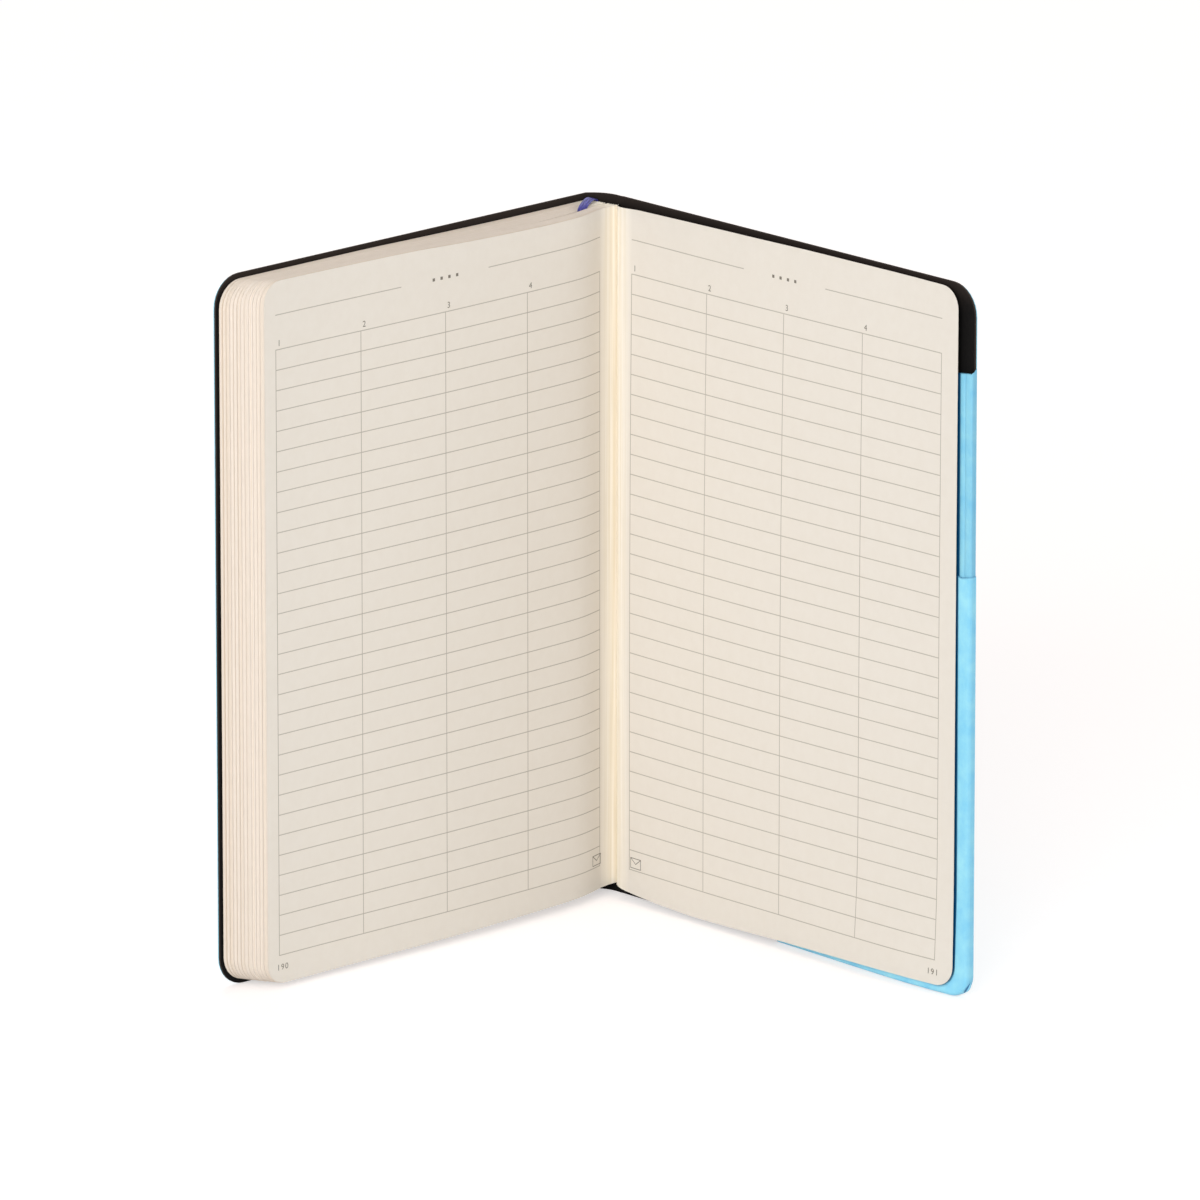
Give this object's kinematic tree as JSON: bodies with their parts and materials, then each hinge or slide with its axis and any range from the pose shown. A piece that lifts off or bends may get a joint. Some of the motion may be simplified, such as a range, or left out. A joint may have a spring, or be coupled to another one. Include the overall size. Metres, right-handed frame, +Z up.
{
  "type": "soft cover notebook",
  "caption": "Soft cover notebook with rounded corners, sewn ruled pages, a ribbon marker and an inner back pocket, standing open on its foot in a V.",
  "frame": {"origin": "middle of the footprint of the open notebook, on the surface that it stands on", "axes": "+Z up along the spine; the front cover runs along -X from the spine and the back cover along -Y, so the notebook opens towards -X and -Y"},
  "size_m": [0.15, 0.1562, 0.21],
  "materials": {
    "cover_skin": "light blue flexible coated skin, fine matte grain",
    "cover_card": "flexible grey card",
    "black_endpaper": "uncoated warm black endpaper",
    "ivory_paper": "uncoated ivory writing paper with fine grey printed rules",
    "pocket_paper": "light blue uncoated card, creased at its folds",
    "ribbon_satin": "violet-blue satin ribbon",
    "binding_gauze": "open weave binding gauze",
    "linen_thread": "waxed white thread"
  },
  "bodies": {
    "text_block": {"spine_skin": "cover_skin", "spine_lining": "black_endpaper", "spine_gauze": "binding_gauze", "sewing_thread_1": "linen_thread", "sewing_thread_2": "linen_thread", "sewing_thread_3": "linen_thread", "sewing_thread_4": "linen_thread", "sewing_thread_5": "linen_thread", "front_flyleaf": "black_endpaper", "signature_01": "ivory_paper", "signature_02": "ivory_paper", "signature_03": "ivory_paper", "signature_04": "ivory_paper", "signature_05": "ivory_paper", "signature_06": "ivory_paper", "signature_07": "ivory_paper", "signature_08": "ivory_paper", "signature_09": "ivory_paper", "signature_10": "ivory_paper", "signature_11": "ivory_paper", "signature_12": "ivory_paper", "ribbon_marker": "ribbon_satin"},
    "front_cover": {"front_cover_skin": "cover_skin", "front_cover_card": "cover_card", "front_cover_lining": "black_endpaper"},
    "back_cover": {"back_cover_skin": "cover_skin", "back_cover_card": "cover_card", "back_cover_lining": "black_endpaper", "pocket_back": "pocket_paper", "pocket_outer_gusset": "pocket_paper", "pocket_foot_gusset": "pocket_paper", "pocket_inner_gusset": "pocket_paper", "pocket_front": "pocket_paper"},
    "left_leaf": {"leaf_189_190": "ivory_paper"},
    "last_leaf": {"leaf_191_192": "ivory_paper", "back_flyleaf": "black_endpaper"}
  },
  "joints": [
    {"name": "front_cover_hinge", "type": "hinge", "parent": "text_block", "child": "front_cover", "pos_m": [0.06996, 0.07756, 0], "axis": [0, 0, 1], "range_deg": [-175, 0]},
    {"name": "back_cover_hinge", "type": "hinge", "parent": "text_block", "child": "back_cover", "pos_m": [0.07449, 0.06689, 0], "axis": [0, 0, 1], "range_deg": [-75, 85], "deforming": ["leaf_191_192", "back_flyleaf"]},
    {"name": "left_leaf_turn", "type": "hinge", "parent": "text_block", "child": "left_leaf", "pos_m": [0.07287, 0.06772, 0], "axis": [0, 0, 1], "range_deg": [0, 50], "deforming": ["leaf_189_190"]},
    {"name": "last_leaf_turn", "type": "hinge", "parent": "back_cover", "child": "last_leaf", "pos_m": [0.07304, 0.0673, 0], "axis": [0, 0, -1], "range_deg": [0, 50], "deforming": ["leaf_191_192", "back_flyleaf"]}
  ]
}
